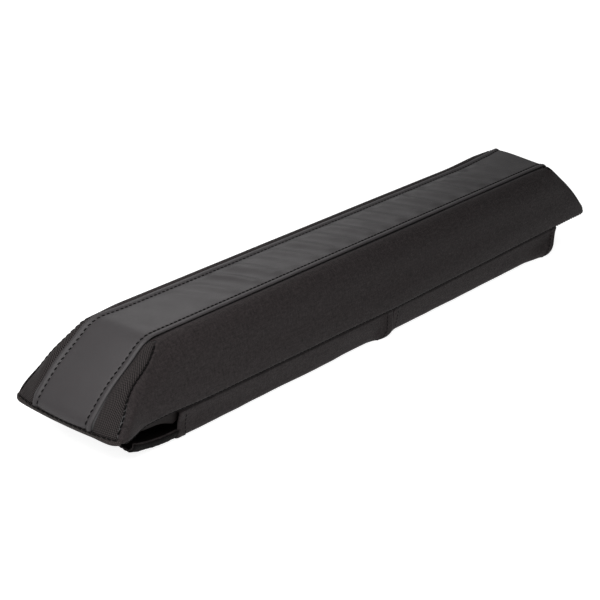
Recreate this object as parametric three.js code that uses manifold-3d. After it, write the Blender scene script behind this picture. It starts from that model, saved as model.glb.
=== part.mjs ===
// A wide roof rack pad: a foam block in a sewn fabric cover, with flaps that close
// round the crossbar of a roof rack. Millimetres, +Z up, X along the pad, Y across it.
// The origin is on the ground under the middle of the pad.
import * as THREE from 'three';
import { mergeVertices } from 'three/addons/utils/BufferGeometryUtils.js';
import Module from 'manifold-3d';

const wasm = await Module();
wasm.setup();

// Padded body, measured on the outside of its cover
const BODY_LENGTH = 760;
const BODY_WIDTH = 120;
const BODY_HEIGHT = 62;
const END_SLOPE_RUN = 60; // how far each end slopes out on its way down
const SIDE_SLOPE_RUN = 22; // the same for each side
const TOP_EDGE_RADIUS_END = 34; // rounding from the top into an end slope
const TOP_EDGE_RADIUS_SIDE = 13; // rounding from the top into a side
const NOSE_HEIGHT = 7; // upright part at the foot of each end
const NOSE_RADIUS = 10; // rounding from the nose into the end slope
const SIDE_BULGE = 2; // how far a side stands out of a flat slope
const PLAN_CORNER_RADIUS = 10;
const FOOT_ROUNDING = 1.5; // soft bottom edge of the cover

// Cloth
const CLOTH = 1.2; // thickness of one sewn layer with its backing
const SEAM = 0.3; // clearance between two pieces that meet

// Seams in the cover
const TOP_PANEL_MARGIN = 13; // from the sharp top edge of a side in to the top panel
const WELT_WIDTH = 5.6;
const WELT_RISE = 1.2; // how far the folded edge stands above the cover
const BINDING_HEIGHT = 4;
const BINDING_RISE = 0.8;
const SEAM_HEAD_INSET = [0, 2.5]; // head of a corner seam, in from the sharp top corner
const SEAM_FOOT_INSET = [3, 3]; // its foot, in from the sharp lower corner

// Flaps
const FLAP_DROP = 31; // from the cover's lower edge to the ground
const FLAP_CORNER_RADIUS = 8; // bend from the wall of a flap into its bottom
const FLAP_SEAM_INSET = 3; // from the side of the cover in to the outer face of a flap
const WALL_LEAN = 2.5; // how far the wall of a flap leans in on its way down
const NEAR_FLAP_INSET = 75; // from each end of the pad to the near flaps
const FAR_FLAP_INSET = 57; // the same for the far flap
const FAR_FLAP_SKEW = 22; // how far its free edge lies to the left of its seam, pulled closed at a slant
const FLAP_SPLIT_X = -5; // where the two near flaps meet
const FLAP_SPLIT_GAP = 0.6;
const NEAR_FLAP_REACH = 8; // free edge of a near flap, past the middle
const FLAP_TIP_RADIUS = 14; // rounded lower corner of each near flap
const FAR_FLAP_RAMP = 10; // run over which it climbs onto the near flap
const FREE_EDGE_CURL = 80; // degrees that its free edge turns up at the near side

// Hook and loop tapes
const TAPE_WIDTH = 40;
const TAPE_END_MARGIN = 10; // bare cloth at each end of a tape

// Fineness of the model
const ARC_STEPS = 6;
const FOOT_LEVELS = 3;
const NOSE_LEVELS = 5;
const WALL_LEVELS = 4;
const TOP_LEVELS = 7;
const LEVEL_GAP = 0.1; // least height between two levels
const MERGE_DISTANCE = 1e-5;
const CUTTER = BODY_LENGTH; // half size of the blocks that only cut

// Depths of the four layers under the crossbar, counted inwards from the ground
const LAYER = CLOTH + SEAM;
const nearTapeDepth = LAYER;
const farTapeDepth = 2 * LAYER;
const farFlapDepth = 3 * LAYER;

const halfLength = BODY_LENGTH / 2;
const halfWidth = BODY_WIDTH / 2;
const topHalfLength = halfLength - END_SLOPE_RUN;
const topHalfWidth = halfWidth - SIDE_SLOPE_RUN;

const topPanelHalf = topHalfWidth - TOP_PANEL_MARGIN;
const weltInner = topPanelHalf + SEAM;
const weltOuter = weltInner + WELT_WIDTH;
const sideInner = weltOuter + SEAM;

const solidOf = (geometry) => {
  const bare = geometry.clone();
  bare.deleteAttribute('normal');
  bare.deleteAttribute('uv');
  const merged = mergeVertices(bare, MERGE_DISTANCE);
  return new wasm.Manifold(new wasm.Mesh({
    numProp: 3,
    vertProperties: new Float32Array(merged.attributes.position.array),
    triVerts: new Uint32Array(merged.index.array),
  }));
};

const geometryOf = (solid) => {
  const mesh = solid.getMesh();
  const geometry = new THREE.BufferGeometry();
  geometry.setAttribute('position', new THREE.BufferAttribute(mesh.vertProperties, 3));
  geometry.setIndex(new THREE.BufferAttribute(mesh.triVerts, 1));
  geometry.computeVertexNormals();
  return geometry;
};

// Half size of the cover at a depth below its top, for one sharp corner and one slope
const edgeRun = (depth, cornerHalf, slope, radius) => {
  const arcDepth = radius * (1 - Math.cos(slope));
  if (depth >= arcDepth) return cornerHalf + depth / Math.tan(slope);
  const arcStart = cornerHalf - radius * Math.tan(slope / 2);
  return arcStart + Math.sqrt(Math.max(0, radius ** 2 - (radius - depth) ** 2));
};

const endSlope = Math.atan2(BODY_HEIGHT - NOSE_HEIGHT, END_SLOPE_RUN);
const sideSlope = Math.atan2(BODY_HEIGHT - NOSE_HEIGHT, SIDE_SLOPE_RUN);

// Eases a half size into its limit, which it reaches where the run is longest
const softLimit = (run, limit, longestRun) => {
  const ease = NOSE_RADIUS / 2;
  const over = (run - limit) / ease + 1;
  if (over <= 0) return run;
  return limit - ease + ease * Math.tanh(over) / Math.tanh((longestRun - limit) / ease + 1);
};

const footInset = (height) => FOOT_ROUNDING * Math.max(0, 1 - height / (2 * FOOT_ROUNDING)) ** 2;

const endRun = (height) => (
  edgeRun(BODY_HEIGHT - height, topHalfLength, endSlope, TOP_EDGE_RADIUS_END)
);

const sideRun = (height) => (
  edgeRun(BODY_HEIGHT - height, topHalfWidth, sideSlope, TOP_EDGE_RADIUS_SIDE)
  + SIDE_BULGE * Math.sin(Math.PI * height / BODY_HEIGHT)
);

const halfLengthAt = (height) => (
  softLimit(endRun(height), halfLength, endRun(0)) - footInset(height)
);

const halfWidthAt = (height) => (
  softLimit(sideRun(height), halfWidth, sideRun(0)) - footInset(height)
);

// Points of a rounded rectangle, counterclockwise
const ringPoints = (halfX, halfY, radius) => {
  const points = [];
  for (const [signX, signY, startAngle] of [[1, 1, 0], [-1, 1, 1], [-1, -1, 2], [1, -1, 3]]) {
    for (let step = 0; step <= ARC_STEPS; step += 1) {
      const angle = (startAngle + step / ARC_STEPS) * Math.PI / 2;
      points.push([
        signX * (halfX - radius) + radius * Math.cos(angle),
        signY * (halfY - radius) + radius * Math.sin(angle),
      ]);
    }
  }
  return points;
};

const stretch = (from, to, levels) => (
  Array.from({ length: levels }, (_, level) => from + (to - from) * level / levels)
);

// Heights of the rings that the body is built from, closest where it rounds
const bodyLevels = () => {
  const footTop = 2 * FOOT_ROUNDING;
  const noseTop = NOSE_HEIGHT + NOSE_RADIUS;
  const topDepth = Math.max(TOP_EDGE_RADIUS_END * (1 - Math.cos(endSlope)),
    TOP_EDGE_RADIUS_SIDE * (1 - Math.cos(sideSlope)));
  const heights = [
    ...stretch(0, footTop, FOOT_LEVELS),
    ...stretch(footTop, noseTop, NOSE_LEVELS),
    ...stretch(noseTop, BODY_HEIGHT - topDepth, WALL_LEVELS),
    ...stretch(Math.PI / 2, 0, TOP_LEVELS)
      .map((angle) => BODY_HEIGHT - topDepth * (1 - Math.cos(angle))),
  ].sort((a, b) => a - b);
  const spaced = heights.filter((height, index) => (
    index === 0 || height - heights[index - 1] > LEVEL_GAP
  ));
  return [...spaced, BODY_HEIGHT];
};

// The padded body as a stack of rounded rectangles; grow moves its skin out or in
const bodyGeometry = (grow) => {
  const heights = bodyLevels();
  const positions = [];
  const indices = [];
  heights.forEach((height) => {
    const share = height / BODY_HEIGHT;
    const z = height + grow * (2 * share - 1);
    const ring = ringPoints(halfLengthAt(height) + grow, halfWidthAt(height) + grow,
      PLAN_CORNER_RADIUS + grow);
    ring.forEach(([x, y]) => positions.push(x, y, z));
  });
  const count = positions.length / 3 / heights.length;
  for (let level = 0; level < heights.length - 1; level += 1) {
    for (let k = 0; k < count; k += 1) {
      const a = level * count + k;
      const b = level * count + (k + 1) % count;
      indices.push(a, b, b + count, a, b + count, a + count);
    }
  }
  const last = (heights.length - 1) * count;
  for (let k = 1; k < count - 1; k += 1) {
    indices.push(0, k + 1, k, last, last + k, last + k + 1);
  }
  const geometry = new THREE.BufferGeometry();
  geometry.setAttribute('position', new THREE.Float32BufferAttribute(positions, 3));
  geometry.setIndex(indices);
  return geometry;
};

const slab = (yLow, yHigh, zLow, zHigh) => {
  const box = new THREE.BoxGeometry(2 * CUTTER, yHigh - yLow, zHigh - zLow);
  box.translate(0, (yLow + yHigh) / 2, (zLow + zHigh) / 2);
  return solidOf(box);
};

// An upright prism over a plan outline, from below the body to above it
const prism = (outline) => {
  const shape = new THREE.Shape(outline.map(([x, y]) => new THREE.Vector2(x, y)));
  const geometry = new THREE.ExtrudeGeometry(shape, { depth: 2 * CUTTER, bevelEnabled: false });
  geometry.translate(0, 0, -CUTTER);
  return solidOf(geometry);
};

// Direction of a corner seam in plan, carried on past its foot
const seamHead = { x: topHalfLength - SEAM_HEAD_INSET[0], y: topHalfWidth - SEAM_HEAD_INSET[1] };
const seamFoot = { x: halfLength - SEAM_FOOT_INSET[0], y: halfWidth - SEAM_FOOT_INSET[1] };
const seamSlope = (seamFoot.y - seamHead.y) / (seamFoot.x - seamHead.x);
const seamEndY = seamFoot.y + seamSlope * (CUTTER - seamFoot.x);

// Plan outline of a side panel, for side -1 (near) or 1 (far)
const sideOutline = (side) => {
  const half = SEAM / 2;
  const points = [
    [-seamHead.x + half, sideInner], [seamHead.x - half, sideInner],
    [seamHead.x - half, seamHead.y], [CUTTER - half, seamEndY],
    [CUTTER - half, CUTTER], [-CUTTER + half, CUTTER],
    [-CUTTER + half, seamEndY], [-seamHead.x + half, seamHead.y],
  ];
  return points.map(([x, y]) => [x, side * y]);
};

// Plan outline of a gusset, at end -1 (left) or 1 (right) of a side
const gussetOutline = (end, side) => {
  const half = SEAM / 2;
  const points = [
    [seamHead.x + half, sideInner], [CUTTER + half, sideInner],
    [CUTTER + half, seamEndY - SEAM], [seamHead.x + half, seamHead.y - SEAM],
  ];
  return points.map(([x, y]) => [end * x, side * y]);
};

// Plan outline of everything past the corner seams at one end
const endOutline = (end) => {
  const half = SEAM / 2;
  const points = [
    [seamHead.x + half, -seamHead.y + SEAM], [CUTTER + half, -seamEndY + SEAM],
    [CUTTER + half, seamEndY - SEAM], [seamHead.x + half, seamHead.y - SEAM],
  ];
  return points.map(([x, y]) => [end * x, y]);
};

const outerBody = solidOf(bodyGeometry(0));
const innerBody = solidOf(bodyGeometry(-CLOTH));
const coverShell = outerBody.subtract(innerBody);
const aboveBinding = slab(-CUTTER, CUTTER, BINDING_HEIGHT + SEAM, CUTTER);
const upperShell = coverShell.intersect(aboveBinding);

const foamCore = () => bodyGeometry(-CLOTH - SEAM);

const topPanel = () => geometryOf(
  upperShell.intersect(slab(-topPanelHalf, topPanelHalf, 0, CUTTER)),
);

const sidePanel = (side) => geometryOf(
  coverShell.subtract(solidOf(baseClearance())).intersect(prism(sideOutline(side))),
);

const gusset = (end, side) => geometryOf(
  upperShell.intersect(prism(gussetOutline(end, side))),
);

const welt = (side) => {
  const raised = solidOf(bodyGeometry(WELT_RISE)).subtract(innerBody).intersect(aboveBinding);
  const low = Math.min(side * weltInner, side * weltOuter);
  return geometryOf(raised.intersect(slab(low, low + WELT_WIDTH, 0, CUTTER)));
};

// The base panel lies between the flaps, so that the crossbar meets all of it
const wallTopY = halfWidth - FLAP_SEAM_INSET;
const baseHalfLength = halfLength - FOOT_ROUNDING - CLOTH - SEAM;
const baseHalfWidth = wallTopY - CLOTH - SEAM;

const plate = (halfX, halfY, radius, low, high) => {
  const outline = ringPoints(halfX, halfY, radius);
  const shape = new THREE.Shape(outline.map(([x, y]) => new THREE.Vector2(x, y)));
  const geometry = new THREE.ExtrudeGeometry(shape, { depth: high - low, bevelEnabled: false });
  geometry.translate(0, 0, low);
  return geometry;
};

const basePanel = () => plate(baseHalfLength, baseHalfWidth, PLAN_CORNER_RADIUS, 0, CLOTH);

// Room that the base panel takes out of the pieces round it
const baseClearance = () => plate(baseHalfLength + SEAM, baseHalfWidth + SEAM,
  PLAN_CORNER_RADIUS + SEAM, -CLOTH, CLOTH + SEAM);

const endBinding = (end) => {
  const band = solidOf(bodyGeometry(BINDING_RISE)).subtract(innerBody)
    .subtract(solidOf(baseClearance()));
  return geometryOf(band.intersect(slab(-CUTTER, CUTTER, 0, BINDING_HEIGHT))
    .intersect(prism(endOutline(end))));
};

const arc = (centreY, centreZ, radius, from, to) => {
  const points = [];
  for (let step = 0; step <= ARC_STEPS; step += 1) {
    const angle = THREE.MathUtils.degToRad(from + (to - from) * step / ARC_STEPS);
    points.push(new THREE.Vector2(centreY + radius * Math.cos(angle),
      centreZ + radius * Math.sin(angle)));
  }
  return points;
};

// A path moved to its left by a distance, with its corners kept sharp
const offsetPath = (points, distance) => points.map((point, index) => {
  const before = points[Math.max(0, index - 1)];
  const after = points[Math.min(points.length - 1, index + 1)];
  const inward = point.clone().sub(before);
  const outward = after.clone().sub(point);
  if (index === 0) inward.copy(outward);
  if (index === points.length - 1) outward.copy(inward);
  inward.normalize();
  outward.normalize();
  const mean = inward.clone().add(outward).normalize();
  const reach = distance / Math.max(0.5, mean.dot(inward));
  return new THREE.Vector2(point.x - mean.y * reach, point.y + mean.x * reach);
});

// A bent sheet: a section between two offsets of a path, drawn out along X
const bentSheet = (path, depth, length) => {
  const outer = offsetPath(path, depth);
  const inner = offsetPath(path, depth + CLOTH);
  const shape = new THREE.Shape([...outer, ...inner.reverse()]);
  const geometry = new THREE.ExtrudeGeometry(shape, { depth: length, bevelEnabled: false });
  geometry.applyMatrix4(new THREE.Matrix4().makeBasis(
    new THREE.Vector3(0, 1, 0), new THREE.Vector3(0, 0, 1), new THREE.Vector3(1, 0, 0),
  ));
  return geometry;
};

const seamZ = FLAP_DROP - SEAM;
const bendY = wallTopY - WALL_LEAN - FLAP_CORNER_RADIUS;

// Outer face of a near flap, from its seam down the wall and under the crossbar
const nearBend = arc(-bendY, FLAP_CORNER_RADIUS, FLAP_CORNER_RADIUS, 180, 270);
const nearFlapPath = [
  new THREE.Vector2(-wallTopY, seamZ), ...nearBend, new THREE.Vector2(NEAR_FLAP_REACH, 0),
];

// Outer face of the far flap, from its free edge at the near side to its seam
const curlRadius = FLAP_CORNER_RADIUS - farFlapDepth;
const rampTop = NEAR_FLAP_REACH + SEAM;
const farFlapPath = [
  ...arc(-bendY, FLAP_CORNER_RADIUS, curlRadius, 270 - FREE_EDGE_CURL, 270),
  new THREE.Vector2(rampTop, farFlapDepth),
  new THREE.Vector2(rampTop + FAR_FLAP_RAMP, 0),
  ...arc(bendY, FLAP_CORNER_RADIUS, FLAP_CORNER_RADIUS, 270, 360),
  new THREE.Vector2(wallTopY, seamZ),
];

// The part of the layers under the crossbar that a tape covers
const tapePath = [
  ...arc(-bendY, FLAP_CORNER_RADIUS, FLAP_CORNER_RADIUS, 270 - FREE_EDGE_CURL, 270),
  new THREE.Vector2(-bendY + TAPE_WIDTH, 0),
];

const nearFlap = (length) => {
  const sheet = solidOf(bentSheet(nearFlapPath, 0, length));
  const radius = FLAP_TIP_RADIUS;
  const corner = new THREE.Shape();
  corner.moveTo(length + CLOTH, -CLOTH);
  corner.lineTo(length + CLOTH, radius);
  corner.lineTo(length, radius);
  corner.absarc(length - radius, radius, radius, 0, -Math.PI / 2, true);
  corner.lineTo(length - radius, -CLOTH);
  const cutter = new THREE.ExtrudeGeometry(corner, {
    depth: 2 * CUTTER, bevelEnabled: false, curveSegments: ARC_STEPS,
  });
  cutter.rotateX(Math.PI / 2);
  cutter.translate(0, CUTTER, 0);
  return geometryOf(sheet.subtract(solidOf(cutter)));
};

const nearTape = (length) => bentSheet(tapePath, nearTapeDepth, length);
const farFlapLength = BODY_LENGTH - 2 * FAR_FLAP_INSET;

// The far flap and its tape slant to the left from the far seam to the free edge
const slanted = (geometry) => {
  const slant = FAR_FLAP_SKEW / (2 * wallTopY);
  const shear = new THREE.Matrix4().makeShear(0, 0, slant, 0, 0, 0);
  shear.setPosition(-slant * wallTopY, 0, 0);
  return geometry.applyMatrix4(shear);
};
const farTape = (length) => slanted(bentSheet(tapePath, farTapeDepth, length));
const farFlap = () => slanted(bentSheet(farFlapPath, 0, farFlapLength));

const cloth = (color, roughness) => new THREE.MeshStandardMaterial({ color, roughness, metalness: 0 });
const coatedCloth = cloth(0x353336, 0.55);
const wovenCloth = cloth(0x211f20, 0.85);
const coarseCloth = cloth(0x2a2829, 0.9);
const liningCloth = cloth(0x1c1b1c, 0.6);
const tapePile = cloth(0x141314, 0.95);
const foam = cloth(0x2b2b2c, 0.95);

const named = (name, geometry, material) => {
  const mesh = new THREE.Mesh(geometry, material);
  mesh.name = name;
  return mesh;
};

const buildCover = () => {
  const cover = new THREE.Group();
  cover.position.z = FLAP_DROP;
  cover.add(named('foam_core', foamCore(), foam));
  cover.add(named('base_panel', basePanel(), liningCloth));
  cover.add(named('top_panel', topPanel(), coatedCloth));
  for (const [side, sideName] of [[-1, 'near'], [1, 'far']]) {
    cover.add(named(`${sideName}_side_panel`, sidePanel(side), wovenCloth));
    cover.add(named(`${sideName}_top_welt`, welt(side), coatedCloth));
    for (const [end, endName] of [[-1, 'left'], [1, 'right']]) {
      cover.add(named(`${sideName}_${endName}_gusset`, gusset(end, side), coarseCloth));
    }
  }
  for (const [end, endName] of [[-1, 'left'], [1, 'right']]) {
    cover.add(named(`${endName}_end_binding`, endBinding(end), wovenCloth));
  }
  return cover;
};

const buildFlaps = () => {
  const flaps = new THREE.Group();
  const nearFlapEnd = halfLength - NEAR_FLAP_INSET;
  const halves = [
    ['left', -nearFlapEnd, FLAP_SPLIT_X - FLAP_SPLIT_GAP / 2],
    ['right', FLAP_SPLIT_X + FLAP_SPLIT_GAP / 2, nearFlapEnd],
  ];
  for (const [halfName, start, end] of halves) {
    const flap = named(`near_${halfName}_flap`, nearFlap(end - start), wovenCloth);
    flap.position.x = start;
    flaps.add(flap);
    const tapeLength = end - start - FLAP_TIP_RADIUS - 2 * TAPE_END_MARGIN;
    const tape = named(`near_${halfName}_tape`, nearTape(tapeLength), tapePile);
    tape.position.x = start + TAPE_END_MARGIN;
    flaps.add(tape);
  }
  const far = named('far_flap', farFlap(), wovenCloth);
  far.position.x = -farFlapLength / 2;
  flaps.add(far);
  const farTapeLength = farFlapLength - 2 * TAPE_END_MARGIN;
  const tape = named('far_tape', farTape(farTapeLength), tapePile);
  tape.position.x = -farTapeLength / 2;
  flaps.add(tape);
  return flaps;
};

const pad = new THREE.Group();
pad.add(buildCover(), buildFlaps());

export default pad;
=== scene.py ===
# Roof rack pad: a foam block in a sewn cloth cover, with flaps that close round a crossbar.
# Lengths are in millimetres up to the moment a mesh is made.
from functools import partial
from math import atan2, cos, pi, radians, sin, tan, tanh

import bpy
import numpy as np
from mathutils import Matrix, Vector


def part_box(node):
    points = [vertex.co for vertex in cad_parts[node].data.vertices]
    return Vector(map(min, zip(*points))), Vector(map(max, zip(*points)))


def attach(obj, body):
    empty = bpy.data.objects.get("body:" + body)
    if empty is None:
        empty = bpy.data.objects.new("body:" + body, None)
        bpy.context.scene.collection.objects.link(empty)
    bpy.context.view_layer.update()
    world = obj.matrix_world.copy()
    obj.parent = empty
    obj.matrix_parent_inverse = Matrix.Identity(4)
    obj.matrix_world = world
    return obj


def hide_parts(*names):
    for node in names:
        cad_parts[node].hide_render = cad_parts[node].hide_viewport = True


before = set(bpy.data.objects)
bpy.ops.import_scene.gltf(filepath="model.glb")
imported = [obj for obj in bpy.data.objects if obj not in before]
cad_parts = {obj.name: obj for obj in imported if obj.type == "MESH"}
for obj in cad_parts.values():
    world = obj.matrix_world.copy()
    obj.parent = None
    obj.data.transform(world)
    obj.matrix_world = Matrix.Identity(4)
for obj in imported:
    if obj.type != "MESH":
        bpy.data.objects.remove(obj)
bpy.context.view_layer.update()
scene = bpy.context.scene
mm = 0.001
luck = np.random.default_rng(7)
print("pad: frame loaded,", len(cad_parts), "nodes")


# Camera at the photograph's angle
eye = {
    "azimuth": -53.61,  # degrees, 0 looks along +Y
    "elevation": 23.31, "roll": 3.63, "distance": 1499.4, "target": (-137.93, -48.89, 77.88),
    "lens": 101.57, "sensor": 36.0,
}


def placed(name, data):
    thing = bpy.data.objects.new(name, data)
    scene.collection.objects.link(thing)
    return thing


def aimCamera():
    az, el, roll = (radians(eye[k]) for k in ("azimuth", "elevation", "roll"))
    back = Vector((sin(az) * cos(el), -cos(az) * cos(el), sin(el)))
    right = Vector((cos(az), sin(az), 0.0))
    up = back.cross(right)
    rolledRight = right * cos(roll) + up * sin(roll)
    rolledUp = up * cos(roll) - right * sin(roll)
    camData = bpy.data.cameras.new("padCamera")
    camData.lens = eye["lens"]
    camData.sensor_width = eye["sensor"]
    camera = placed("padCamera", camData)
    place = Vector(eye["target"]) + back * eye["distance"]
    turn = Matrix((rolledRight, rolledUp, back)).transposed().to_4x4()
    camera.matrix_world = Matrix.Translation(place * mm) @ turn
    scene.camera = camera


aimCamera()


# The cover's outer form, the same in Blender as in the frame
cover = {
    "foot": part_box("base_panel")[0].z / mm,
    "height": (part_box("top_panel")[1].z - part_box("base_panel")[0].z) / mm, "halfLength": 380.0,
    "halfWidth": 60.0, "endSlopeRun": 60.0, "sideSlopeRun": 22.0, "endEdgeRadius": 34.0,
    "sideEdgeRadius": 13.0, "noseHeight": 7.0, "noseOut": 0.3,
    "noseLean": 0.38,  # the cloth turns steeper round the nose, but not upright
    "noseEase": 3.5, "sideEase": 5.0, "sideBulge": 2.0, "planCorner": 10.0, "footRounding": 1.5,
    "panelHalf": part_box("top_panel")[1].y / mm,  # topstitch line, from the middle
    "weltEdge": -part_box("near_top_welt")[0].y / mm,  # outer edge of the welt
    "cloth": 1.2, "gap": 0.3,
}
padCore = (0.0, 0.0, cover["foot"] + cover["height"] / 2)


def edgeRun(depth, cornerHalf, slope, radius):
    arcStart = cornerHalf - radius * tan(slope / 2)
    onArc = arcStart + np.sqrt(np.clip(radius**2 - (radius - depth) ** 2, 0, None))
    return np.where(depth >= radius * (1 - cos(slope)), cornerHalf + depth / tan(slope), onArc)


def softLimit(run, limit, longest):
    ease = cover["sideEase"]
    over = (run - limit) / ease + 1
    eased = limit - ease + ease * np.tanh(over) / tanh((longest - limit) / ease + 1)
    return np.where(over <= 0, run, eased)


def footInset(height):
    reach = 2 * cover["footRounding"]
    return cover["footRounding"] * np.clip(1 - height / reach, 0, None) ** 2


def endRun(height):
    slope = atan2(cover["height"] - cover["noseHeight"], cover["endSlopeRun"])
    corner = cover["halfLength"] - cover["endSlopeRun"]
    return edgeRun(cover["height"] - height, corner, slope, cover["endEdgeRadius"])


def sideRun(height):
    slope = atan2(cover["height"] - cover["noseHeight"], cover["sideSlopeRun"])
    corner = cover["halfWidth"] - cover["sideSlopeRun"]
    run = edgeRun(cover["height"] - height, corner, slope, cover["sideEdgeRadius"])
    return run + cover["sideBulge"] * np.sin(np.pi * height / cover["height"])


def halfLengthAt(height):
    slope, nose = endRun(height), cover["halfLength"] + cover["noseOut"] - cover["noseLean"] * height
    mix = np.clip(0.5 + 0.5 * (nose - slope) / cover["noseEase"], 0, 1)
    run = nose * (1 - mix) + slope * mix - cover["noseEase"] * mix * (1 - mix)
    return run - footInset(height)


def halfWidthAt(height):
    return softLimit(sideRun(height), cover["halfWidth"], float(sideRun(0.0))) - footInset(height)


# Small tools for paths, fields and sheets
def cadBox(node):
    return (np.array(corner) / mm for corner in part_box(node))


def unit(vectors):
    return vectors / np.linalg.norm(vectors, axis=1, keepdims=True)


def together(*arrays):
    return np.stack(np.broadcast_arrays(*arrays), axis=-1)


def lengthAlong(points):
    steps = np.linalg.norm(np.diff(points, axis=0), axis=1)
    return np.concatenate([[0.0], np.cumsum(steps)])


def readAt(values, along, stations):
    return np.stack([np.interp(stations, along, values[:, k]) for k in range(values.shape[1])], axis=-1)


def evenly(points, step=None, count=None):
    points = np.asarray(points, float)
    along = lengthAlong(points)
    if count is None:
        count = max(2, int(round(along[-1] / step)) + 1)
    return readAt(points, along, np.linspace(0, along[-1], count))


def blend(value, low, high):
    t = np.clip((value - low) / (high - low), 0, 1)
    return t * t * (3 - 2 * t)


def bump(distance, width):
    return np.exp(-((distance / width) ** 2))


def bumpAt(value, spot):
    # A bump at a place, of a width
    return bump(value - spot[0], spot[1])


def dip(distance, size):
    # A bump of a height and a width, at distance 0
    return size[0] * bump(distance, size[1])


def softField(first, second, cell, seed):
    # Smooth random field from -1 to 1 over two coordinates in millimetres
    dice = np.random.default_rng(seed)
    grid = dice.uniform(-1, 1, (64, 64))
    r, c = np.broadcast_arrays(first / cell[0] + 500.0, second / cell[1] + 500.0)
    r0, c0 = np.floor(r).astype(int), np.floor(c).astype(int)
    fr, fc = r - r0, c - c0
    fr, fc = fr * fr * (3 - 2 * fr), fc * fc * (3 - 2 * fc)
    a, b = grid[r0 % 64, c0 % 64], grid[r0 % 64, (c0 + 1) % 64]
    d, e = grid[(r0 + 1) % 64, c0 % 64], grid[(r0 + 1) % 64, (c0 + 1) % 64]
    return (a * (1 - fc) + b * fc) * (1 - fr) + (d * (1 - fc) + e * fc) * fr


def gridNormals(grid, core):
    normal = np.cross(np.gradient(grid, axis=0), np.gradient(grid, axis=1))
    normal /= np.maximum(np.linalg.norm(normal, axis=2, keepdims=True), 1e-9)
    flipped = np.sum(normal * (grid - np.asarray(core, float))) < 0
    return (-normal if flipped else normal), flipped


# The sewn cover settles a little: its left end sags and its lower edges wander in and out
slack = {
    "endSag": 3.9, "endSagSpan": (335.0, 386.0), "endSagMiddle": -6.0, "endSagHalf": 68.0,
    "lowShare": 0.72,  # the edges wander below this share of the height
    "sideSpan": (22.0, 56.0), "bellyAt": 20.0, "bellyEase": 40.0,
    "belly": 1.6,  # the near side stands out here, and draws in towards both ends
    "drawLeft": 0.016, "drawRight": 0.010, "cornerOut": 2.6, "cornerSpan": (343.0, 376.0),
    "lift": 2.2,  # the near lower edge rides up past the end of the flap
    "liftAt": (-322.0, 36.0), "liftSpan": (35.0, 56.0), "rightTuck": 5.0, "rightTuckFrom": 335.0,
    "rightTuckHeights": (12.0, 45.0), "rightLower": 0.8, "rightBlunt": 2.2, "rightBluntAt": (7.0, 5.0),
    "rightCrest": 0.85,  # share of the way from the rounded top edge to a sharp one, at the right end
    "rightCrestSoft": 0.05, "rightCrestSpan": (15.0, 26.0),
    "rightRise": 3.0,  # the far top edge stands a little higher towards the right end
    "rightRiseSpan": (225.0, 312.0), "rightRiseAcross": (-20.0, 32.0), "leftSpan": (322.0, 350.0),
    "leftCorner": (30.0, 50.0),
    "leftFoot": 2.4,  # the left nose flares out at its lower edge
    "leftFootShares": (0.3, 1.2, 0.6),  # in the middle, and more at the near and far corner
    "leftFootFade": 7.0,
    "leftPuff": 7.5,  # the left end is puffed out between its gussets
    "leftPuffAt": (28.0, 18.0), "leftPuffAcross": (38.0, 56.0),
    "leftNose": 3.0,  # and its middle is rounded out below that
    "leftNoseAt": (11.0, 10.0),
    "leftCheek": 2.6,  # while the far corner draws in
    "leftCheekAt": (19.0, 12.0), "farBow": 1.2, "farBowShare": 0.95,
}


def drawnIn(x):
    # How far the near lower edge lies inside its straight line
    away = x - slack["bellyAt"]
    run = np.sqrt(away**2 + slack["bellyEase"] ** 2) - slack["bellyEase"]
    drawn = -slack["belly"] + run * np.where(away < 0, slack["drawLeft"], slack["drawRight"])
    corner = blend(-x, *slack["cornerSpan"])
    return drawn * (1 - corner) - slack["cornerOut"] * corner


topSlope = atan2(cover["height"] - cover["noseHeight"], cover["endSlopeRun"])
crestRun = cover["halfLength"] - cover["endSlopeRun"] - cover["endEdgeRadius"] * tan(topSlope / 2)
crestCentre = (crestRun, cover["height"] - cover["endEdgeRadius"])


def sharpened(x, up):
    # How much further out than the arc the flat top and the slope would meet
    turn = np.arctan2(x - crestCentre[0], up - crestCentre[1])
    half = topSlope / 2
    swing = np.clip(half - np.sqrt((turn - half) ** 2 + slack["rightCrestSoft"] ** 2), 0, None)
    near = blend(np.hypot(x - crestCentre[0], up - crestCentre[1]), *slack["rightCrestSpan"])
    return np.where((turn > 0) & (turn < topSlope), 1 / np.cos(swing) - 1, 0) * near


def leftBulge(y, up):
    # How far the left end stands out at its foot, nose and middle, less the far corner's draw
    nearCorner, farCorner = blend(-y, *slack["leftCorner"]), blend(y, *slack["leftCorner"])
    middle, near, far = slack["leftFootShares"]
    fade = np.exp(-np.clip(up, 0, None) / slack["leftFootFade"])
    foot = slack["leftFoot"] * (middle + near * nearCorner + far * farCorner) * fade
    nose = slack["leftNose"] * (1 - (nearCorner + farCorner)) * bumpAt(up, slack["leftNoseAt"])
    between = 1 - blend(np.abs(y), *slack["leftPuffAcross"])
    puff = slack["leftPuff"] * between * bumpAt(up, slack["leftPuffAt"])
    return foot + nose + puff - slack["leftCheek"] * farCorner * bumpAt(up, slack["leftCheekAt"])


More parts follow.
